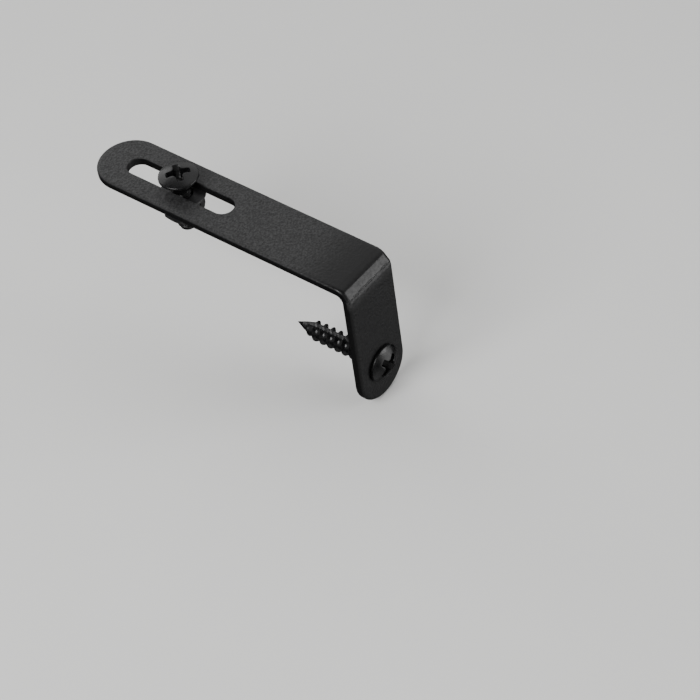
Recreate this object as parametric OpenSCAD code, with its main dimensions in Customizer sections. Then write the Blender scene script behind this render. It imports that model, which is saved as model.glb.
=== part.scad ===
// Pickguard mounting bracket: a bent strap of steel with its side screw and its adjustable guard clamp.
//
// Frame, in millimetres: the origin is the centre of the side screw's hole, on the back face of the leg.
// +Y runs into the guitar's body along the side screw, and the arm reaches the same way.
// +Z runs up from the side screw to the arm. +X runs across the strap.

/* [Strap] */
// Width of the strap
strap_w = 10; // [9:0.5:14]
// Thickness of the strap
strap_t = 1.4; // [1.2:0.1:1.8]
// Outer radius of the bend
bend_r = 2.4; // [2:0.1:4]
// Radius along the strap's long edges
edge_r = 0.35; // [0.2:0.05:0.5]
// Length of the leg, from the top of the arm to the end of the leg
leg_len = 24.5; // [20:0.5:35]
// Height of the side screw's hole above the end of the leg
hole_up = 6.4; // [5.5:0.1:8]
// Length of the arm, from the outer face of the leg to the end of the arm
arm_len = 49; // [48:0.5:60]

/* [Slot] */
// Distance from the outer face of the leg to the middle of the slot
slot_reach = 34.4; // [33:0.1:35]
// Width of the slot
slot_w = 3.4; // [3.2:0.1:3.8]
// Travel of the clamp along the slot, from one end to the other
slot_travel = 16; // [8:1:16]

/* [Side screw] */
// Diameter of the side screw's head
side_head_d = 5.9; // [5.7:0.1:6.8]
// Outer diameter of the side screw's thread
side_thread_d = 3.1; // [2.9:0.1:3.3]
// Diameter of the side screw's plain neck
side_neck_d = 2.5; // [2.2:0.1:2.8]
// Length of the side screw, from the rim of its head to its point
side_len = 16; // [12:1:25]
// How far the rim of the side screw's head stands out of the leg
side_proud = 0.5; // [0.3:0.05:0.8]

/* [Guard clamp] */
// Thickness of the pickguard that the clamp holds
guard_t = 2.5; // [2.3:0.1:3.2]
// How far the rim of the guard screw's head lies under the pickguard's top
guard_sink = 0.4; // [0.3:0.05:0.45]
// Diameter of the guard screw's head
guard_head_d = 6; // [5.6:0.1:6]
// Length of the guard screw, from the rim of its head to its end
guard_len = 10; // [10:0.5:12]

/* [Hidden] */
$fn = 64;

// Levels of the strap.
leg_bottom = -hole_up;
arm_top = leg_bottom + leg_len;
arm_bottom = arm_top - strap_t;
leg_front = -strap_t;
arm_end = leg_front + arm_len;
slot_y = leg_front + slot_reach;

// Heads, which are all cut to a 90 degree cone with a short rim and a low dome.
rim_t = 0.35;
side_dome_h = 0.95;
guard_dome_h = 0.65;
seat_gap = 0.02;
recess_foot_r = 0.85;
recess_taper = 0.49;
recess_wing = 1;
recess_depth = 2;
side_recess_turn = 37;
guard_recess_turn = 52;

// Side screw.
side_rim_y = leg_front - side_proud;
side_point = 3.5;
side_thread_y = 0.6;
side_hole_r = side_thread_d / 2 + 0.15;

// M3 guard screw and its fixings.
m3_r = 1.5;
nut_bore_r = m3_r + 0.05;
nut_flats = 5.5;
nut_h = 2.4;
flat_od = 7;
flat_id = 3.2;
flat_t = 0.5;
lock_od = 5.9;
lock_id = 3.1;
lock_t = 0.8;
lock_gap = 0.6;
guard_rim_z = arm_top + guard_t - guard_sink;
flat_z = arm_bottom - flat_t;
lock_z = flat_z - lock_t;
nut_z = lock_z - nut_h;

// Half of the strap's section, from the middle out to its rounded edge: w wide in X and t deep in +Y.
module half_section(w = strap_w, t = strap_t, r = edge_r) {
    square([w / 2 - r, t]);
    translate([0, r]) square([w / 2, t - 2 * r]);
    for (y = [r, t - r])
        translate([w / 2 - r, y]) circle(r);
}

// Straight run of strap along +Z, with its outer face on y = 0.
module strap_run(length) {
    linear_extrude(length) {
        half_section();
        mirror([1, 0]) half_section();
    }
}

// Full round end of the strap, which turns from +X over -Z to -X.
module strap_end() {
    rotate([-90, 0, 0]) rotate_extrude(angle = 180) half_section();
}

// Quarter turn that joins the leg to the arm.
module strap_bend() {
    translate([0, leg_front + bend_r, arm_top - bend_r])
        rotate([90, 0, -90]) rotate_extrude(angle = 90) translate([bend_r, 0]) rotate(90) {
            half_section();
            mirror([1, 0]) half_section();
        }
}

// Slot with round ends, cut along Z and laid out along Y.
module slot_cut(w, travel, depth) {
    for (end = [-travel / 2, travel / 2])
        translate([0, end, 0]) cylinder(h = depth, d = w);
    translate([-w / 2, -travel / 2, 0]) cube([w, travel, depth]);
}

// Hole and 90 degree countersink in the leg, which follow the side screw's head with a small gap.
module leg_hole() {
    head_r = side_head_d / 2 + seat_gap;
    cone_y = side_rim_y + rim_t;
    translate([0, cone_y, 0]) rotate([-90, 0, 0])
        cylinder(h = head_r - side_hole_r, r1 = head_r, r2 = side_hole_r);
    translate([0, leg_front - 1, 0]) rotate([-90, 0, 0])
        cylinder(h = strap_t + 2, r = side_hole_r);
}

module bracket() {
    round_r = strap_w / 2;
    leg_run = arm_top - bend_r - (leg_bottom + round_r);
    arm_start = leg_front + bend_r;
    arm_run = arm_end - round_r - arm_start;
    color([0.11, 0.11, 0.11]) difference() {
        union() {
            translate([0, leg_front, leg_bottom + round_r]) {
                strap_run(leg_run);
                strap_end();
            }
            strap_bend();
            translate([0, arm_start + arm_run, arm_top]) rotate([90, 0, 0]) {
                mirror([0, 1, 0]) strap_run(arm_run);
                mirror([0, 1, 0]) strap_end();
            }
        }
        leg_hole();
        translate([0, slot_y, arm_bottom - 1]) slot_cut(slot_w, slot_travel, strap_t + 2);
    }
}

// Tapered cross recess, cut down from the top of a dome at z = 0.
module cross_recess(recess_turn) {
    cut_h = recess_depth + 1;
    intersection() {
        translate([0, 0, -recess_depth])
            cylinder(h = cut_h, r1 = recess_foot_r, r2 = recess_foot_r + cut_h * recess_taper);
        for (turn = [0, 90])
            rotate(recess_turn + turn) translate([-4, -recess_wing / 2, -recess_depth])
                cube([8, recess_wing, cut_h]);
    }
}

// Raised countersunk head with its rim plane on z = 0, its dome above and its cone down to neck_r below.
module oval_head(head_d, neck_r, dome_h, recess_turn) {
    head_r = head_d / 2;
    dome_r = (head_r * head_r + dome_h * dome_h) / (2 * dome_h);
    difference() {
        union() {
            intersection() {
                translate([0, 0, dome_h - dome_r]) sphere(r = dome_r, $fn = 128);
                cylinder(h = dome_h, r = head_r);
            }
            translate([0, 0, -rim_t]) cylinder(h = rim_t, r = head_r);
            translate([0, 0, -rim_t - (head_r - neck_r)])
                cylinder(h = head_r - neck_r, r1 = neck_r, r2 = head_r);
        }
        translate([0, 0, dome_h]) cross_recess(recess_turn);
    }
}

module side_screw() {
    neck_r = side_neck_d / 2;
    thread_r = side_thread_d / 2;
    point_y = side_rim_y + side_len;
    cone_end = side_rim_y + rim_t + side_head_d / 2 - neck_r;
    color([0.07, 0.07, 0.07]) {
        translate([0, side_rim_y, 0]) rotate([90, 0, 0])
            oval_head(side_head_d, neck_r, side_dome_h, side_recess_turn);
        translate([0, cone_end, 0]) rotate([-90, 0, 0])
            cylinder(h = side_thread_y - cone_end, r = neck_r);
        translate([0, side_thread_y, 0]) rotate([-90, 0, 0])
            cylinder(h = point_y - side_point - side_thread_y, r = thread_r);
        translate([0, point_y - side_point, 0]) rotate([-90, 0, 0])
            cylinder(h = side_point, r1 = thread_r, r2 = 0.15);
    }
}

module guard_screw() {
    chamfer = 0.3;
    cone_end = guard_rim_z - rim_t - (guard_head_d / 2 - m3_r);
    tip_z = guard_rim_z - guard_len;
    color([0.07, 0.07, 0.07]) translate([0, slot_y, 0]) {
        translate([0, 0, guard_rim_z]) oval_head(guard_head_d, m3_r, guard_dome_h, guard_recess_turn);
        translate([0, 0, tip_z + chamfer]) cylinder(h = cone_end - tip_z - chamfer, r = m3_r);
        translate([0, 0, tip_z]) cylinder(h = chamfer, r1 = m3_r - chamfer, r2 = m3_r);
    }
}

// Flat ring with its lower face on z = 0.
module ring(outer_d, inner_d, height) {
    difference() {
        cylinder(h = height, d = outer_d);
        translate([0, 0, -1]) cylinder(h = height + 2, d = inner_d);
    }
}

module flat_washer() {
    color([0.12, 0.12, 0.12]) translate([0, slot_y, flat_z]) ring(flat_od, flat_id, flat_t);
}

// Spring washer as it sits when clamped flat, cut through on a slant.
module lock_washer() {
    color([0.1, 0.1, 0.1]) translate([0, slot_y, lock_z]) difference() {
        ring(lock_od, lock_id, lock_t);
        translate([0, 0, lock_t / 2]) rotate([30, 0, 0])
            translate([0, -lock_gap / 2, -lock_od / 2]) cube([lock_od, lock_gap, lock_od]);
    }
}

// Hexagon nut, with both faces' corners cut back by a 30 degree cone.
module hex_nut() {
    corner_r = nut_flats / sqrt(3);
    slope = tan(30);
    land_r = nut_flats / 2 - 0.1;
    land_drop = (corner_r + 0.5 - land_r) * slope;
    color([0.1, 0.1, 0.1]) translate([0, slot_y, nut_z]) difference() {
        intersection() {
            rotate(30) cylinder(h = nut_h, r = corner_r, $fn = 6);
            union() {
                cylinder(h = land_drop, r1 = land_r, r2 = corner_r + 0.5);
                translate([0, 0, land_drop]) cylinder(h = nut_h - 2 * land_drop, r = corner_r + 0.5);
                translate([0, 0, nut_h - land_drop]) cylinder(h = land_drop, r1 = corner_r + 0.5, r2 = land_r);
            }
        }
        translate([0, 0, -1]) cylinder(h = nut_h + 2, r = nut_bore_r);
    }
}

bracket();
side_screw();
guard_screw();
flat_washer();
lock_washer();
hex_nut();
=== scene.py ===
"""Looks of a pickguard mounting bracket: a bent black strap, its side screw and its guard clamp."""

import math

import bmesh
import bpy
from mathutils import Matrix, Vector
from mathutils.geometry import delaunay_2d_cdt


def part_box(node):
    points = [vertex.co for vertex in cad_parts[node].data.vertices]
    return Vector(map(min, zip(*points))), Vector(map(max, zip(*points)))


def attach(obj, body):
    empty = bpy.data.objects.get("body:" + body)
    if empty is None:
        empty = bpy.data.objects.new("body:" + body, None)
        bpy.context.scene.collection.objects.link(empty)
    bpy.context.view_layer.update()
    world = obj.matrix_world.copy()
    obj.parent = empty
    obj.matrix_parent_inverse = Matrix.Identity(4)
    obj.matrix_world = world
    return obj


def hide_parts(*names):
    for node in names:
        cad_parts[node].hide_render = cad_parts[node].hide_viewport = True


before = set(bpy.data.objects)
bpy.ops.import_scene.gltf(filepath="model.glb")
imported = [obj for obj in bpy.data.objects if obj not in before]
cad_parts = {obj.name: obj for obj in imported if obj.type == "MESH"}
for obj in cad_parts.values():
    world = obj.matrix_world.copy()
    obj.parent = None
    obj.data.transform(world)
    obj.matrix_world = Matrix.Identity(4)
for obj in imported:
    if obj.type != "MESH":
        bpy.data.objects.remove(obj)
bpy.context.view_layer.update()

MM = 0.001
TAU = 2 * math.pi

# ---------------- Sizes, in millimetres
# The leg's back face is the plane y = 0, and the side screw's hole is centred on the origin.


def node_box(node):
    """Lowest and highest corner of a CAD node, in millimetres."""
    low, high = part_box(node)
    return low / MM, high / MM


strap_low, strap_high = node_box("bracket")
side_high = node_box("side_screw")[1]
guard_low, guard_high = node_box("guard_screw")
flat_low, flat_high = node_box("flat_washer")
lock_low, lock_high = node_box("lock_washer")
nut_low, nut_high = node_box("hex_nut")

# Strap. Its edges' rounding is wider than it is deep, and its sides draw in a little round the bend.
STRAP_T = -strap_low.y
LEG_FRONT = strap_low.y
LEG_BOTTOM = strap_low.z
ARM_TOP = strap_high.z
ARM_END = strap_high.y
END_R = strap_high.x
EDGE_WIDTH = 0.6
EDGE_DEPTH = 0.35
BEND_R = 2.4
BEND_PINCH = 0.1

# Slot in the arm and countersunk hole in the leg.
SLOT_W = 3.4
SLOT_TRAVEL = 16.0
SLOT_EDGE_WIDTH = 0.16
SLOT_EDGE_DEPTH = 0.14
LEG_HOLE_R = 1.7
SEAT_GAP = 0.02

# Screw heads. The recess is tapered, and the width of its wings shrinks to a share of itself at its foot.
RIM_T = 0.35
RIM_EDGE = 0.17
RECESS_SPAN = 3.65
RECESS_WING = 1.0
RECESS_FILLET = 0.55
RECESS_SOFT = 0.07
RECESS_FOOT = 1.7
RECESS_FOOT_SHARE = 0.84
RECESS_DEPTH = 2.0
RECESS_PIT = 0.3

# Side screw. Its core and its thread's crest both run down to the tip on a slope.
SIDE_PROUD = 0.5
SIDE_HEAD_R = side_high.x
SIDE_DOME_H = 0.95
SIDE_RECESS_TURN = math.radians(53)
SIDE_RIM_Y = LEG_FRONT - SIDE_PROUD
SIDE_LEN = side_high.y - SIDE_RIM_Y
SIDE_NECK_R = 1.25
SIDE_NECK_RUN = 0.3
SIDE_CORE_R = 1.05
SIDE_THREAD_R = 1.55
SIDE_PITCH = 1.35
SIDE_TIP_R = 0.12
SIDE_TIP_RUN = 0.15
SIDE_TIP_THREAD = 0.03
SIDE_CORE_SLOPE = 0.32
SIDE_CREST_SLOPE = 0.4

# Guard screw.
CLAMP_Y = (guard_low.y + guard_high.y) / 2
GUARD_HEAD_R = guard_high.x
GUARD_DOME_H = 0.65
GUARD_RECESS_TURN = math.radians(38)
GUARD_LEN = 10.0
GUARD_RIM_Z = guard_low.z + GUARD_LEN
GUARD_TIP_RUN = 0.12
GUARD_TIP_SOFT = 0.06
GUARD_TIP_HOLLOW = 0.05
M3_R = 1.5
M3_CORE_R = 1.19
M3_PITCH = 0.5
M3_SHANK = 2.2

# Nut and washers.
NUT_APOTHEM = nut_high.x
NUT_LAND_R = NUT_APOTHEM - 0.1
NUT_CHAMFER = math.radians(30)
NUT_CLEARANCE = 0.05
NUT_CREST_R = 1.27
NUT_MOUTH_R = 1.62
NUT_MOUTH_SLOPE = 1.4
NUT_LEAD_IN = 0.05
NUT_LEAD_OUT = 0.03
FLAT_BORE_R = 1.6
LOCK_BORE_R = 1.55
LOCK_GAP = 0.6
LOCK_SLANT = math.radians(30)

# ---------------- Mesh helpers

TINY = 1e-6
MERGE_DIST = 1e-5
SHARP_DEG = 38
NORMAL_WEIGHT = 80


def finish_piece(name, bm, body, node, material, sharp_deg=SHARP_DEG):
    """Turns a bmesh in millimetres into a smooth-shaded piece that stands for a CAD node."""
    bmesh.ops.remove_doubles(bm, verts=bm.verts, dist=MERGE_DIST)
    bmesh.ops.recalc_face_normals(bm, faces=bm.faces)
    for face in bm.faces:
        face.smooth = True
    for edge in bm.edges:
        edge.smooth = len(edge.link_faces) == 2 and edge.calc_face_angle() < math.radians(sharp_deg)
    bmesh.ops.scale(bm, vec=(MM, MM, MM), verts=bm.verts)
    mesh = bpy.data.meshes.new(name)
    bm.to_mesh(mesh)
    bm.free()
    mesh.materials.append(material)
    piece = bpy.data.objects.new(name, mesh)
    bpy.context.scene.collection.objects.link(piece)
    weighted = piece.modifiers.new("weighted_normals", "WEIGHTED_NORMAL")
    weighted.keep_sharp = True
    weighted.weight = NORMAL_WEIGHT
    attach(piece, body)
    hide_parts(node)
    return piece


def add_loop(bm, points):
    """Adds the vertices of one closed loop."""
    return [bm.verts.new(point) for point in points]


def bridge(bm, loops):
    """Joins a series of closed loops that have the same number of points."""
    for first, second in zip(loops, loops[1:]):
        for i in range(len(first)):
            j = (i + 1) % len(first)
            bm.faces.new((first[i], first[j], second[j], second[i]))


def close_loop(bm, loop, point):
    """Closes a loop with triangles that meet at one point."""
    tip = bm.verts.new(point)
    for i in range(len(loop)):
        bm.faces.new((loop[i], loop[(i + 1) % len(loop)], tip))


def arc_steps(start_deg, stop_deg, count):
    """Angles in radians from start to stop, with both ends."""
    return [math.radians(start_deg + (stop_deg - start_deg) * k / count) for k in range(count + 1)]


def smoothstep(value):
    """Soft change from 0 to 1 as a value passes from 0 to 1."""
    value = min(max(value, 0.0), 1.0)
    return value * value * (3 - 2 * value)


# ---------------- Strap, drawn flat and folded along its length

BEND_LEN = BEND_R * math.pi / 2
BEND_START = ARM_TOP - BEND_R - LEG_BOTTOM
BEND_STOP = BEND_START + BEND_LEN
ARM_START_Y = LEG_FRONT + BEND_R
FLAT_LEN = BEND_STOP + ARM_END - ARM_START_Y
BEND_STEPS = 30
END_STEPS = 72
EDGE_STEPS = 9
SLOT_STEPS = 32
SLOT_EDGE_STEPS = 4
HOLE_STEPS = 96
LINE_DIGITS = 3

# Flat along the outside of the bend, by the turn from the leg. It has this share of a full chord's depth.
FACET_TURN = math.radians(37.5)
FACET_HALF = math.radians(16.5)
FACET_SHARE = 0.85


def pressed_flat(turn):
    """Depth of the flat that the bending tool has left along the outside of the bend."""
    off = abs(turn - FACET_TURN)
    if off >= FACET_HALF:
        return 0.0
    return FACET_SHARE * BEND_R * (1 - math.cos(FACET_HALF) / math.cos(off))


def fold(across, along, depth):
    """Point of the folded strap: across it, along it from the leg's end, and under its outer face."""
    if along <= BEND_START:
        return Vector((across, LEG_FRONT + depth, LEG_BOTTOM + along))
    if along >= BEND_STOP:
        return Vector((across, ARM_START_Y + along - BEND_STOP, ARM_TOP - depth))
    turn = (along - BEND_START) / BEND_R
    outside = 1 - depth / STRAP_T
    radius = BEND_R - depth - pressed_flat(turn) * outside
    pinch = BEND_PINCH * math.sin(2 * turn) ** 2 * outside
    y = ARM_START_Y - radius * math.cos(turn)
    z = ARM_TOP - BEND_R + radius * math.sin(turn)
    return Vector((across * (1 - pinch / END_R), y, z))


def bend_lines():
    """Places along the strap where its outline needs a point, in and beside the bend."""
    margin = 0.8
    inside = [BEND_START + BEND_LEN * k / BEND_STEPS for k in range(BEND_STEPS + 1)]
    return [BEND_START - margin] + inside + [BEND_STOP + margin]


def arc_outline(centre, radius, start_deg, stop_deg, count, side=1):
    """Arc as (point, normal) pairs. The normals point away from the centre, or towards it with side -1."""
    outline = []
    for angle in arc_steps(start_deg, stop_deg, count):
        away = Vector((math.cos(angle), math.sin(angle)))
        outline.append((centre + away * radius, away * side))
    return outline


def strap_outline():
    """Closed outline of the flat strap."""
    outline = arc_outline(Vector((0, END_R)), END_R, 180, 360, END_STEPS)
    outline += [(Vector((END_R, along)), Vector((1, 0))) for along in bend_lines()]
    outline += arc_outline(Vector((0, FLAT_LEN - END_R)), END_R, 0, 180, END_STEPS)
    outline += [(Vector((-END_R, along)), Vector((-1, 0))) for along in reversed(bend_lines())]
    return outline


def slot_outline(centre):
    """Closed outline of the slot, with normals that point into the opening."""
    half = Vector((0, SLOT_TRAVEL / 2))
    outline = arc_outline(centre - half, SLOT_W / 2, 180, 360, SLOT_STEPS, side=-1)
    outline += arc_outline(centre + half, SLOT_W / 2, 0, 180, SLOT_STEPS, side=-1)
    return outline


def edge_profile(width, height, steps):
    """Wall from the outer face to the inner face with soft corners, as (offset, depth) pairs."""
    front = [(width * (math.sin(a) - 1), height * (1 - math.cos(a))) for a in arc_steps(0, 90, steps)]
    back = [(offset, STRAP_T - depth) for offset, depth in reversed(front)]
    return front + back


def countersink_profile():
    """Wall of the leg's hole, which widens to the front in a cone under the screw's head."""
    cone = SIDE_HEAD_R + SEAT_GAP - RIM_T - (LEG_FRONT - SIDE_RIM_Y) - LEG_HOLE_R
    soft = 0.1
    return [
        (-cone - soft, 0.0),
        (-cone - soft * 0.35, soft * 0.12),
        (-cone + soft * 0.4, soft * 0.5),
        (-soft * 0.3, cone - soft * 0.3),
        (0.0, cone + soft * 0.5),
        (0.0, STRAP_T - soft),
        (-soft * 0.3, STRAP_T - soft * 0.3),
        (-soft, STRAP_T),
    ]


def folded_wall(bm, outline, profile):
    """Wall of the folded strap along an outline. Returns its borders, each as (vertices, flat points)."""
    borders = []
    for offset, depth in profile:
        flat = [point + normal * offset for point, normal in outline]
        borders.append((add_loop(bm, [fold(p.x, p.y, depth) for p in flat]), flat))
    bridge(bm, [loop for loop, flat in borders])
    return borders[0], borders[-1]


def is_inside(point, loop):
    """True where a flat point lies inside a closed flat loop."""
    inside = False
    for a, b in zip(loop, loop[1:] + loop[:1]):
        if (a.y > point.y) != (b.y > point.y):
            if point.x < a.x + (point.y - a.y) * (b.x - a.x) / (b.y - a.y):
                inside = not inside
    return inside


def fill_face(bm, outer, holes):
    """Triangles of one face of the strap, cut straight across at each of the bend's lines."""
    points = []
    verts = []
    edges = []
    for loop, flat in [outer] + holes:
        first = len(points)
        points += flat
        verts += loop
        edges += [(first + k, first + (k + 1) % len(flat)) for k in range(len(flat))]

    # Each of the bend's lines joins the two points where it meets the outline.
    ends = {round(along, LINE_DIGITS): [] for along in bend_lines()}
    for k, point in enumerate(outer[1]):
        line = round(point.y, LINE_DIGITS)
        if line in ends:
            ends[line].append(k)
    edges += [tuple(pair) for pair in ends.values()]
    inside_only = 1
    places, _, faces, origins, _, _ = delaunay_2d_cdt(points, edges, [], inside_only, TINY)
    for face in faces:
        middle = sum((places[k] for k in face), Vector((0, 0))) / len(face)
        if not any(is_inside(middle, flat) for _, flat in holes):
            bm.faces.new([verts[origins[k][0]] for k in face])


def make_bracket(material):
    """Bent strap, with the slot in its arm and the countersunk hole in its leg."""
    bm = bmesh.new()
    slot_centre = Vector((0, BEND_STOP + CLAMP_Y - ARM_START_Y))
    hole_centre = Vector((0, -LEG_BOTTOM))
    strap_edge = edge_profile(EDGE_WIDTH, EDGE_DEPTH, EDGE_STEPS)
    slot_edge = edge_profile(SLOT_EDGE_WIDTH, SLOT_EDGE_DEPTH, SLOT_EDGE_STEPS)
    outer = folded_wall(bm, strap_outline(), strap_edge)
    slot = folded_wall(bm, slot_outline(slot_centre), slot_edge)
    circle = arc_outline(hole_centre, LEG_HOLE_R, 0, 360, HOLE_STEPS, side=-1)[:-1]
    hole = folded_wall(bm, circle, countersink_profile())
    for k in (0, 1):
        fill_face(bm, outer[k], [slot[k], hole[k]])
    finish_piece("bent_strap", bm, "bracket", "bracket", material)


# ---------------- Round pieces, built along an axis

HEAD_COUNT = 192
THREAD_COUNT = 96

# Share of the dome's radius beyond which its loops are round, and the plain steps beside each thread.
ROUND_SHARE = 0.76
NECK_LEAD = 0.03
THREAD_LEAD = 0.02


class Axis:
    """Places points by radius, turn and distance along an axis. The turn is right-handed about it."""

    def __init__(self, origin, first, along):
        self.origin = Vector(origin)
        self.first = Vector(first)
        self.along = Vector(along)
        self.second = self.along.cross(self.first)

    def at(self, radius, turn, distance):
        sideways = self.first * math.cos(turn) + self.second * math.sin(turn)
        return self.origin + sideways * radius + self.along * distance

    def ring(self, bm, radius, distance, count=THREAD_COUNT):
        """Round loop, whose radius and distance are numbers or functions of the turn."""
        points = []
        for k in range(count):
            turn = TAU * k / count
            r = radius(turn) if callable(radius) else radius
            d = distance(turn) if callable(distance) else distance
            points.append(self.at(r, turn, d))
        return add_loop(bm, points)


def cross_radius(turn, span, wing):
    """Distance from the middle of a cross to its outline, with its inner corners rounded."""
    turn = turn % (TAU / 4)
    turn = min(turn, TAU / 4 - turn)
    side = wing / 2 / max(math.sin(turn), TINY)
    corner = wing / 2 + RECESS_FILLET
    if side * math.cos(turn) < corner:
        lean = corner * (math.cos(turn) + math.sin(turn))
        side = lean - math.sqrt(max(lean * lean - 2 * corner * corner + RECESS_FILLET ** 2, 0))
    return min(span / 2, side)


def oval_head(bm, axis, head_r, neck_r, dome_h, recess_turn):
    """Raised countersunk head with a cross recess, its rim at distance 0. Returns the loop at its neck."""
    dome_r = (head_r * head_r + dome_h * dome_h) / (2 * dome_h)
    floor = RECESS_DEPTH - dome_h
    loops = []

    def dome(radius):
        return dome_r - dome_h - math.sqrt(dome_r * dome_r - radius * radius)

    def mouth(turn):
        return cross_radius(turn - recess_turn, RECESS_SPAN, RECESS_WING)

    def add(radius, distance):
        loops.append(axis.ring(bm, radius, distance, HEAD_COUNT))

    # Recess, from its floor up to its mouth, with tapered walls.
    for share, squeeze in ((0.0, 0.88), (0.05, 1.0), (0.5, 1.0), (0.95, 1.0)):
        span = RECESS_FOOT + (RECESS_SPAN - RECESS_FOOT) * share
        wing = RECESS_WING * (RECESS_FOOT_SHARE + (1 - RECESS_FOOT_SHARE) * share)
        add(
            lambda t: cross_radius(t - recess_turn, span, wing) * squeeze,
            lambda t: floor + (dome(mouth(t)) - floor) * share,
        )
    for out, down in ((0.0, 0.7), (0.3, 0.17), (1.0, 0.0)):
        out *= RECESS_SOFT
        down *= RECESS_SOFT
        add(lambda t: mouth(t) + out, lambda t: dome(mouth(t) + out) + down)

    # Dome, from the mouth's outline out to a circle, and on towards the rim.
    lean = math.asin((head_r - RIM_EDGE) / (dome_r - RIM_EDGE))
    circle = dome_r * math.sin(lean)
    inner = circle * ROUND_SHARE
    for share in (0.3, 0.65, 1.0):

        def between(turn):
            start = mouth(turn) + RECESS_SOFT
            return start + (inner - start) * share

        add(between, lambda t: dome(between(t)))
    for radius in ((inner + circle) / 2, circle):
        add(radius, dome(radius))

    # Rounded rim, then the cone down to the neck.
    centre = dome(circle) + RIM_EDGE * math.cos(lean)
    for angle in arc_steps(math.degrees(lean), 90, 6)[1:]:
        add(head_r - RIM_EDGE + RIM_EDGE * math.sin(angle), centre - RIM_EDGE * math.cos(angle))
    cone_end = RIM_T + head_r - neck_r
    for radius, distance in (
        (head_r, RIM_T - 0.03),
        (head_r - 0.03, RIM_T + 0.02),
        (neck_r + 0.12, cone_end - 0.12),
        (neck_r + 0.03, cone_end - 0.01),
        (neck_r, cone_end + 0.1),
    ):
        add(radius, distance)
    bridge(bm, loops)
    close_loop(bm, loops[0], axis.at(0, 0, floor + RECESS_PIT))
    return loops[-1]


def halve_loop(bm, axis, loop, radius, distance):
    """Joins a loop to a round one with half as many points, and returns that one."""
    half = axis.ring(bm, radius, distance, len(loop) // 2)
    for i in range(len(half)):
        j = (i + 1) % len(half)
        bm.faces.new((loop[2 * i], loop[2 * i + 1], half[i]))
        bm.faces.new((loop[2 * i + 1], loop[(2 * i + 2) % len(loop)], half[j], half[i]))
    return half


def section(*flank):
    """Thread's height across one pitch, as (place, height) pairs, from one flank and its mirror."""
    mirrored = [(1 - place, height) for place, height in reversed(flank) if place < 0.5]
    return [(0.0, 0.0)] + list(flank) + mirrored


WOOD_SECTION = section((0.24, 0.0), (0.3, 0.1), (0.47, 0.95), (0.5, 1.0))
M3_SECTION = section((0.1, 0.0), (0.16, 0.08), (0.42, 0.93), (0.46, 1.0))


def thread(bm, axis, first, last, start, turns, pitch, heights, surface):
    """Threaded wall between two round loops, (turns + 1) * pitch long from start.

    Its rows run along the helix, so each crest is a clean line. The thread rises out of the round surface
    at one end and runs out into it at the other. surface(distance, height) gives the radius.
    """
    rows = len(heights)
    stop = start + (turns + 1) * pitch
    columns = []
    for i in range(THREAD_COUNT):
        column = []
        for j in range(turns * rows + 1):
            place, height = heights[j % rows]
            distance = start + pitch * (j // rows + place + i / THREAD_COUNT)
            rise = smoothstep((distance - start) / pitch - 0.5)
            rise *= smoothstep((stop - distance) / pitch)
            radius = surface(distance, height * rise)
            column.append(bm.verts.new(axis.at(radius, TAU * i / THREAD_COUNT, distance)))
        columns.append(column)

    # The last column meets the first one a full pitch further along.
    for i, (left, right) in enumerate(zip(columns, columns[1:])):
        for j in range(turns * rows):
            bm.faces.new((left[j], right[j], right[j + 1], left[j + 1]))
        bm.faces.new((first[i], first[i + 1], right[0], left[0]))
        bm.faces.new((left[-1], right[-1], last[i + 1], last[i]))
    left = columns[-1]
    right = columns[0][rows:]
    for j in range(len(right) - 1):
        bm.faces.new((left[j], right[j], right[j + 1], left[j + 1]))

    # Two narrow fans close the steps that the helix leaves at its ends.
    near = [first[0]] + columns[0][:rows + 1] + [columns[-1][0]]
    far = [columns[0][-1]] + columns[-1][-rows - 1:] + [last[-1]]
    for hub, rim in ((first[-1], near), (last[0], far)):
        for a, b in zip(rim, rim[1:]):
            bm.faces.new((hub, a, b))


def make_side_screw(material):
    """Wood screw, with a coarse thread that runs down to its point."""
    bm = bmesh.new()
    axis = Axis((0, SIDE_RIM_Y, 0), (0, 0, 1), (0, 1, 0))
    start = RIM_T + SIDE_HEAD_R - SIDE_NECK_R + SIDE_NECK_RUN
    turns = int((SIDE_LEN - SIDE_TIP_RUN - start) / SIDE_PITCH) - 1
    stop = start + (turns + 1) * SIDE_PITCH

    def surface(distance, height):
        left = SIDE_LEN - distance
        neck = smoothstep(1 - (distance - start) / SIDE_PITCH)
        core = SIDE_CORE_R + (SIDE_NECK_R - SIDE_CORE_R) * neck
        core = min(core, SIDE_TIP_R + SIDE_CORE_SLOPE * left)
        crest = min(SIDE_THREAD_R, SIDE_TIP_R + SIDE_TIP_THREAD + SIDE_CREST_SLOPE * left)
        return core + (crest - core) * height

    neck = oval_head(bm, axis, SIDE_HEAD_R, SIDE_NECK_R, SIDE_DOME_H, SIDE_RECESS_TURN)
    first = halve_loop(bm, axis, neck, SIDE_NECK_R, start - NECK_LEAD)
    last = axis.ring(bm, surface(stop + THREAD_LEAD, 0), stop + THREAD_LEAD)
    thread(bm, axis, first, last, start, turns, SIDE_PITCH, WOOD_SECTION, surface)
    close_loop(bm, last, axis.at(0, 0, SIDE_LEN))
    finish_piece("wood_screw", bm, "side_screw", "side_screw", material)


def guard_axis():
    """Axis of the guard screw and its nut, from the rim of the screw's head down to its tip."""
    return Axis((0, CLAMP_Y, GUARD_RIM_Z), (1, 0, 0), (0, 0, -1))


def m3_surface(distance, height):
    """Radius of the guard screw's surface."""
    groove = smoothstep((distance - M3_SHANK) / M3_PITCH)
    root = M3_R - (M3_R - M3_CORE_R) * groove
    return root + (M3_R - root) * height


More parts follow.
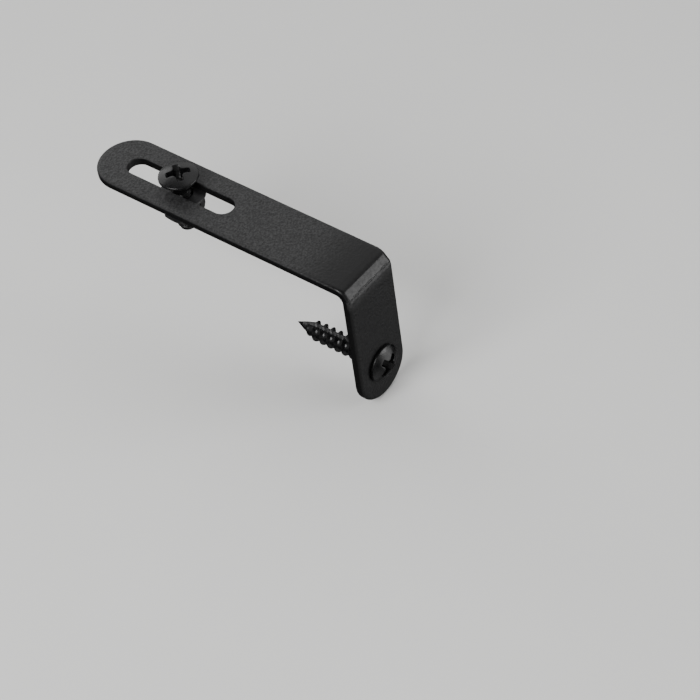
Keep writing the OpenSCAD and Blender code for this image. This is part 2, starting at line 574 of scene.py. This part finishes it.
def make_guard_screw(material):
    """M3 screw, with a fine thread and a flat tip."""
    bm = bmesh.new()
    axis = guard_axis()
    turns = int((GUARD_LEN - GUARD_TIP_RUN - M3_SHANK) / M3_PITCH) - 1
    stop = M3_SHANK + (turns + 1) * M3_PITCH
    neck = oval_head(bm, axis, GUARD_HEAD_R, M3_R, GUARD_DOME_H, GUARD_RECESS_TURN)
    first = halve_loop(bm, axis, neck, M3_R, M3_SHANK - NECK_LEAD)
    last = axis.ring(bm, M3_CORE_R, stop + THREAD_LEAD)
    thread(bm, axis, first, last, M3_SHANK, turns, M3_PITCH, M3_SECTION, m3_surface)
    shoulder = axis.ring(bm, M3_CORE_R, GUARD_LEN - GUARD_TIP_SOFT)
    tip = axis.ring(bm, M3_CORE_R - GUARD_TIP_SOFT, GUARD_LEN)
    bridge(bm, [last, shoulder, tip])
    close_loop(bm, tip, axis.at(0, 0, GUARD_LEN - GUARD_TIP_HOLLOW))
    finish_piece("guard_bolt", bm, "guard_screw", "guard_screw", material)


def hex_radius(turn):
    """Distance from the nut's middle to its hexagon."""
    off = (turn + TAU / 12) % (TAU / 6) - TAU / 12
    return NUT_APOTHEM / math.cos(off)


def make_nut(material):
    """Hexagon nut, whose thread reaches into the screw's grooves with a little clearance."""
    bm = bmesh.new()
    axis = guard_axis()
    top = GUARD_RIM_Z - nut_high.z
    bottom = GUARD_RIM_Z - nut_low.z
    start = math.ceil((top + NUT_LEAD_IN) / M3_PITCH) * M3_PITCH
    turns = int((bottom - NUT_LEAD_OUT - start) / M3_PITCH) - 1
    stop = start + (turns + 1) * M3_PITCH

    def bore(distance, height):
        groove = M3_CORE_R + (M3_R - M3_CORE_R) * height + NUT_CLEARANCE
        inside = min(distance - top, bottom - distance)
        return max(groove, NUT_CREST_R, NUT_MOUTH_R - NUT_MOUTH_SLOPE * inside)

    def drop(turn):
        return (hex_radius(turn) - NUT_LAND_R) * math.tan(NUT_CHAMFER)

    first = axis.ring(bm, bore(start - THREAD_LEAD, 0), start - THREAD_LEAD)
    last = axis.ring(bm, bore(stop + THREAD_LEAD, 0), stop + THREAD_LEAD)
    thread(bm, axis, first, last, start, turns, M3_PITCH, M3_SECTION, bore)
    bridge(bm, [
        first,
        axis.ring(bm, NUT_MOUTH_R, top),
        axis.ring(bm, NUT_LAND_R, top),
        axis.ring(bm, hex_radius, lambda t: top + drop(t)),
        axis.ring(bm, hex_radius, lambda t: bottom - drop(t)),
        axis.ring(bm, NUT_LAND_R, bottom),
        axis.ring(bm, NUT_MOUTH_R, bottom),
        last,
    ])
    finish_piece("clamp_nut", bm, "hex_nut", "hex_nut", material, sharp_deg=25)


def make_flat_washer(material):
    """Stamped washer: its upper edges are drawn in round, and its lower ones are crisp."""
    bm = bmesh.new()
    axis = Axis((0, CLAMP_Y, 0), (1, 0, 0), (0, 0, 1))
    outer_r = flat_high.x
    low, high = flat_low.z, flat_high.z
    soft = 0.12
    crisp = 0.03
    drawn = [(soft * (1 - math.sin(a)), soft * (1 - math.cos(a))) for a in arc_steps(0, 90, 5)]
    profile = [(outer_r - off, high - down) for off, down in drawn]
    profile += [(outer_r, low + crisp), (outer_r - crisp, low)]
    profile += [(FLAT_BORE_R + crisp, low), (FLAT_BORE_R, low + crisp)]
    profile += [(FLAT_BORE_R + off, high - down) for off, down in reversed(drawn)]
    loops = [axis.ring(bm, radius, z) for radius, z in profile]
    bridge(bm, loops + loops[:1])
    finish_piece("wide_washer", bm, "clamp_stack", "flat_washer", material)


def make_lock_washer(material):
    """Spring washer, clamped flat: a bar with soft corners, rolled round and cut through on a slant."""
    bm = bmesh.new()
    outer_r = lock_high.y - CLAMP_Y
    middle = (lock_low.z + lock_high.z) / 2
    half = (lock_high.z - lock_low.z) / 2
    soft = 0.1
    steps = 96
    corners = (
        (outer_r - soft, half - soft, 90),
        (outer_r - soft, soft - half, 0),
        (LOCK_BORE_R + soft, soft - half, -90),
        (LOCK_BORE_R + soft, half - soft, -180),
    )
    bar = []
    for r, z, start in corners:
        corner = arc_steps(start, start - 90, 4)
        bar += [(r + soft * math.cos(a), z + soft * math.sin(a)) for a in corner]

    def cut(half_gap, r, z):
        """Turn at which one face of the slanted cut crosses a point of the bar."""
        return math.asin((half_gap - z * math.sin(LOCK_SLANT)) / math.cos(LOCK_SLANT) / r)

    loops = []
    for k in range(steps + 1):
        points = []
        for r, z in bar:
            start = cut(LOCK_GAP / 2, r, z)
            stop = TAU + cut(-LOCK_GAP / 2, r, z)
            turn = start + (stop - start) * k / steps
            points.append(Vector((r * math.cos(turn), CLAMP_Y + r * math.sin(turn), middle + z)))
        loops.append(add_loop(bm, points))
    bridge(bm, loops)
    bm.faces.new(loops[0])
    bm.faces.new(loops[-1])
    finish_piece("spring_washer", bm, "clamp_stack", "lock_washer", material)


# ---------------- Materials


class Paint:
    """A material's nodes. Its textures are placed by object coordinates, in millimetres."""

    def __init__(self, name, specular=0.5):
        self.material = bpy.data.materials.new(name)
        self.material.use_nodes = True
        self.nodes = self.material.node_tree.nodes
        self.links = self.material.node_tree.links
        self.shader = self.nodes["Principled BSDF"]
        self.shader.inputs["Specular IOR Level"].default_value = specular
        place = self.nodes.new("ShaderNodeTexCoord")
        scale = self.nodes.new("ShaderNodeVectorMath")
        scale.operation = "SCALE"
        scale.inputs["Scale"].default_value = 1 / MM
        self.links.new(place.outputs["Object"], scale.inputs[0])
        self.place = scale.outputs[0]

    def noise(self, size_mm, detail=3.0, rough=0.5, place=None):
        """Noise from 0 to 1 with features of about that size."""
        node = self.nodes.new("ShaderNodeTexNoise")
        node.inputs["Scale"].default_value = 1 / size_mm
        node.inputs["Detail"].default_value = detail
        node.inputs["Roughness"].default_value = rough
        self.links.new(place or self.place, node.inputs["Vector"])
        return node.outputs["Fac"]

    def feed(self, node, values):
        """Sets a node's inputs in turn to numbers or sockets, and returns its output."""
        for socket, value in zip(node.inputs, values):
            if isinstance(value, (int, float)):
                socket.default_value = value
            else:
                self.links.new(value, socket)
        return node.outputs[0]

    def combine(self, *values):
        """Vector from three numbers or sockets."""
        return self.feed(self.nodes.new("ShaderNodeCombineXYZ"), values)

    def remap(self, value, low, high, new_low=0.0, new_high=1.0):
        """Smooth change from one number to another as a value passes from low to high."""
        node = self.nodes.new("ShaderNodeMapRange")
        node.interpolation_type = "SMOOTHSTEP"
        names = ("From Min", "From Max", "To Min", "To Max")
        for name, number in zip(names, (low, high, new_low, new_high)):
            node.inputs[name].default_value = number
        self.links.new(value, node.inputs["Value"])
        return node.outputs["Result"]

    def calc(self, operation, *values):
        """One sum on numbers or sockets."""
        node = self.nodes.new("ShaderNodeMath")
        node.operation = operation
        return self.feed(node, values)

    def off(self, value, centre):
        """How far a value is from a number, either way."""
        return self.calc("ABSOLUTE", self.calc("SUBTRACT", value, centre))

    def along(self, axis):
        """One coordinate, in millimetres."""
        node = self.nodes.new("ShaderNodeSeparateXYZ")
        self.links.new(self.place, node.inputs[0])
        return node.outputs[axis]

    def colour(self, value, dark, light):
        """Sets the base colour to a blend of two colours."""
        node = self.nodes.new("ShaderNodeMix")
        node.data_type = "RGBA"
        self.links.new(value, node.inputs[0])
        node.inputs[6].default_value = (*dark, 1)
        node.inputs[7].default_value = (*light, 1)
        self.links.new(node.outputs[2], self.shader.inputs["Base Color"])

    def roughness(self, value):
        self.links.new(value, self.shader.inputs["Roughness"])

    def bump(self, height, depth_mm):
        """Adds a layer of relief over the ones before it."""
        node = self.nodes.new("ShaderNodeBump")
        node.inputs["Distance"].default_value = depth_mm * MM
        self.links.new(height, node.inputs["Height"])
        for link in list(self.shader.inputs["Normal"].links):
            self.links.new(link.from_socket, node.inputs["Normal"])
        self.links.new(node.outputs["Normal"], self.shader.inputs["Normal"])


COAT_BLACK = (0.004, 0.004, 0.0042)
# The lighter coat colour is painted light: the sheen on the arm's top and the highlight just below the
# bend's flat.
COAT_PAINTED_LIGHT = (0.034, 0.034, 0.0345)


def powder_coat():
    """Satin black coat: pebbled on the flats, drawn smooth and a little cracked round the bend, with
    painted sheen on the arm's top and a painted highlight below the bend's flat.
    """
    paint = Paint("powder_coat", specular=0.25)

    # Turn round the bend's centre in radians, 0 at the leg, and how far the coat has been drawn out there.
    back = paint.calc("SUBTRACT", ARM_START_Y, paint.along("Y"))
    up = paint.calc("SUBTRACT", paint.along("Z"), ARM_TOP - BEND_R)
    turn = paint.calc("ARCTAN2", up, back)
    drawn = paint.remap(paint.off(turn, math.pi / 4), 0.8, 2.0, 1.0, 0.0)

    # Short broken cracks that run across the strap, along the lower edge of the bend's flat.
    round_bend = paint.calc("MULTIPLY", turn, BEND_R)
    stretched = paint.combine(paint.calc("MULTIPLY", paint.along("X"), 0.08), round_bend, 0)
    streaks = paint.noise(0.1, detail=2.0, place=stretched)
    crease = FACET_TURN - FACET_HALF - 0.03
    near = paint.remap(paint.off(turn, crease), 0.03, 0.12, 1.0, 0.0)
    cracks = paint.calc("MULTIPLY", near, paint.remap(streaks, 0.53, 0.6))

    # Painted sheen: the top of the arm is paler towards its far end, away from the bend.
    on_top = paint.remap(paint.along("Z"), ARM_TOP - 0.25, ARM_TOP - 0.03)
    painted_arm_sheen = paint.calc("MULTIPLY", on_top, paint.remap(paint.along("Y"), 2.0, 11.0))

    # Painted highlight: the coat is paler on the outer face just below the flat, down onto the top of the
    # leg.
    outer_face = paint.remap(back, BEND_R - 0.6, BEND_R - 0.3)
    painted_bend_glow = paint.calc("MULTIPLY", outer_face, paint.remap(paint.off(turn, 0.05), 0.1, 0.65, 1.0, 0.0))

    # Colour, with the painted sheen and highlight flecked by the grain, then gloss and relief.
    grain = paint.remap(paint.noise(0.3, detail=3.0, rough=0.7), 0.3, 0.75, 0.1, 1.0)
    tone = paint.calc("MULTIPLY", paint.calc("MAXIMUM", painted_arm_sheen, painted_bend_glow), grain)
    paint.colour(tone, COAT_BLACK, COAT_PAINTED_LIGHT)
    flats = paint.remap(paint.noise(0.5, detail=4.0), 0.3, 0.7, 0.4, 0.52)
    satin = paint.calc("SUBTRACT", flats, paint.calc("MULTIPLY", drawn, 0.12))
    paint.roughness(paint.calc("ADD", satin, paint.calc("MULTIPLY", cracks, 0.3)))
    pebbled = paint.calc("SUBTRACT", 1.0, paint.calc("MULTIPLY", drawn, 0.75))
    paint.bump(paint.noise(1.3, detail=2.0), 0.03)
    paint.bump(paint.calc("MULTIPLY", paint.noise(0.36, detail=2.5), pebbled), 0.09)
    paint.bump(paint.calc("MULTIPLY", cracks, -1.0), 0.06)
    return paint.material


def mottle(paint, dark, light, tone_size, smooth, rough, gloss_size, detail=4.0):
    """Gives a finish a colour from dark to light and a roughness from smooth to rough, in soft spots."""
    tone = paint.remap(paint.noise(tone_size, detail), 0.35, 0.7)
    paint.colour(tone, dark, light)
    paint.roughness(paint.remap(paint.noise(gloss_size, 4.0), 0.3, 0.7, smooth, rough))


def black_screw():
    """Black-finished steel with a soft gloss and fine forging marks."""
    paint = Paint("black_screw", specular=0.3)
    dark, light = (0.003, 0.003, 0.0032), (0.006, 0.006, 0.0063)
    mottle(paint, dark, light, tone_size=0.9, smooth=0.2, rough=0.32, gloss_size=0.35)
    paint.bump(paint.noise(1.1, detail=2.0), 0.02)
    paint.bump(paint.noise(0.16), 0.003)
    return paint.material


def black_fixing():
    """Duller black finish of the nut and the wide washer."""
    paint = Paint("black_fixing", specular=0.45)
    dark, light = (0.01, 0.01, 0.0105), (0.02, 0.02, 0.0205)
    mottle(paint, dark, light, tone_size=0.7, smooth=0.34, rough=0.48, gloss_size=0.3)
    paint.bump(paint.noise(0.2), 0.006)
    return paint.material


def spring_steel():
    """Oiled, heat-blackened spring steel."""
    paint = Paint("spring_steel")
    paint.shader.inputs["Metallic"].default_value = 1.0
    dark, light = (0.05, 0.05, 0.053), (0.11, 0.108, 0.105)
    mottle(paint, dark, light, tone_size=0.8, smooth=0.32, rough=0.46, gloss_size=0.25, detail=5.0)
    paint.bump(paint.noise(0.18), 0.005)
    return paint.material


# ---------------- Stage

# Floor: half of its width in metres, and the gap under the leg in millimetres.
FLOOR_HALF = 0.9
FLOOR_GAP = 0.02

# Camera: its direction from the top of the bend and its roll, then its lengths in millimetres.
VIEW_AZIMUTH = math.radians(-46.175)
VIEW_ELEVATION = math.radians(46.397)
VIEW_ROLL = math.radians(-8.93)
VIEW_DISTANCE = 388.2
VIEW_LEFT = 2.684
VIEW_DOWN = 10.593
LENS = 144
SENSOR_W = 36


def floor_finish():
    """Matt pale paint, very slightly uneven."""
    paint = Paint("pale_floor", specular=0.2)
    paint.roughness(paint.remap(paint.noise(30.0), 0.3, 0.7, 0.6, 0.7))
    paint.colour(paint.noise(40.0), (0.60, 0.60, 0.59), (0.64, 0.64, 0.63))
    return paint.material


def make_floor():
    """Plain pale floor, just under the end of the leg."""
    bm = bmesh.new()
    bmesh.ops.create_grid(bm, x_segments=1, y_segments=1, size=FLOOR_HALF)
    mesh = bpy.data.meshes.new("floor")
    bm.to_mesh(mesh)
    bm.free()
    mesh.materials.append(floor_finish())
    floor = bpy.data.objects.new("floor", mesh)
    floor.location.z = (LEG_BOTTOM - FLOOR_GAP) * MM

    # Gloss looks past the floor, to the world's dark lower half and its patches of light.
    floor.visible_glossy = False
    bpy.context.scene.collection.objects.link(floor)


def make_world():
    """Soft room: pale above the floor and dark below it, with soft patches that the gloss reflects."""
    world = bpy.data.worlds.new("soft_room")
    world.use_nodes = True
    nodes = world.node_tree.nodes
    links = world.node_tree.links
    direction = nodes.new("ShaderNodeTexCoord").outputs["Generated"]

    def glow(centre, inner_deg, outer_deg, strength):
        """Soft round patch of light, full within one angle of its centre and gone beyond another."""
        dot = nodes.new("ShaderNodeVectorMath")
        dot.operation = "DOT_PRODUCT"
        dot.inputs[1].default_value = Vector(centre).normalized()
        links.new(direction, dot.inputs[0])
        patch = nodes.new("ShaderNodeMapRange")
        patch.interpolation_type = "SMOOTHSTEP"
        patch.inputs["From Min"].default_value = math.cos(math.radians(outer_deg))
        patch.inputs["From Max"].default_value = math.cos(math.radians(inner_deg))
        patch.inputs["To Max"].default_value = strength
        links.new(dot.outputs["Value"], patch.inputs["Value"])
        return patch.outputs["Result"]

    patches = (
        # Pale walls, which dim towards the ceiling.
        glow((0, 0, 1), 92, 100, 0.5),
        glow((0, 0, 1), 20, 70, -0.4),
        # Top of the arm and of the guard screw's head.
        glow((0.62, 0.28, 0.70), 15, 50, 0.75),
        # Upper part of the bend.
        glow((0.50, -0.05, 0.87), 8, 24, 0.6),
        # Lower part of the bend, and upper part of the side screw's head.
        glow((0.50, -0.80, -0.25), 8, 29, 2.7),
        # Left edge of the leg.
        glow((-0.25, -0.64, -0.72), 10, 34, 0.5),
        # Lower part of the side screw's head.
        glow((0.30, -0.10, -0.95), 20, 50, 0.12),
    )
    total = patches[0]
    for patch in patches[1:]:
        add = nodes.new("ShaderNodeMath")
        links.new(patch, add.inputs[0])
        links.new(total, add.inputs[1])
        total = add.outputs[0]
    background = nodes["Background"]
    background.inputs["Color"].default_value = (1, 1, 1, 1)
    links.new(total, background.inputs["Strength"])
    bpy.context.scene.world = world


def make_light(name, direction, distance, size, power):
    """Round soft light that faces the bend, with lengths in millimetres and its power in watts."""
    aim = Vector((0, LEG_FRONT, ARM_TOP)) * MM
    towards = Vector(direction).normalized()
    data = bpy.data.lights.new(name, "AREA")
    data.shape = "DISK"
    data.size = size * MM
    data.energy = power
    light = bpy.data.objects.new(name, data)
    light.visible_camera = False
    light.location = aim + towards * distance * MM
    light.rotation_euler = towards.to_track_quat("Z", "Y").to_euler()
    bpy.context.scene.collection.objects.link(light)


def make_camera():
    """Long lens that looks down on the bend from beyond the leg's left edge, a little tilted."""
    back = Vector((
        math.sin(VIEW_AZIMUTH) * math.cos(VIEW_ELEVATION),
        -math.cos(VIEW_AZIMUTH) * math.cos(VIEW_ELEVATION),
        math.sin(VIEW_ELEVATION),
    ))
    level = (-back).cross(Vector((0, 0, 1))).normalized()
    upright = level.cross(-back)
    right = level * math.cos(VIEW_ROLL) + upright * math.sin(VIEW_ROLL)
    up = upright * math.cos(VIEW_ROLL) - level * math.sin(VIEW_ROLL)
    bend_top = Vector((0, LEG_FRONT, ARM_TOP))
    place = bend_top - right * VIEW_LEFT - up * VIEW_DOWN + back * VIEW_DISTANCE
    data = bpy.data.cameras.new("camera")
    data.lens = LENS
    data.sensor_width = SENSOR_W
    data.clip_start = 0.01
    data.clip_end = 20
    camera = bpy.data.objects.new("camera", data)
    turn = Matrix((right, up, back)).transposed().to_4x4()
    camera.matrix_world = Matrix.Translation(place * MM) @ turn
    bpy.context.scene.collection.objects.link(camera)
    bpy.context.scene.camera = camera


make_camera()
make_world()
make_light("key", (0.50, -0.82, 0.31), distance=500, size=320, power=1.4)
make_light("back_fill", (0.15, 0.86, 0.46), distance=500, size=400, power=0.7)
make_light("floor_fill", (-0.75, 0.05, 0.65), distance=600, size=400, power=4.5)
make_floor()

screw_finish = black_screw()
fixing_finish = black_fixing()
make_bracket(powder_coat())
make_side_screw(screw_finish)
make_guard_screw(screw_finish)
make_flat_washer(fixing_finish)
make_lock_washer(spring_steel())
make_nut(fixing_finish)
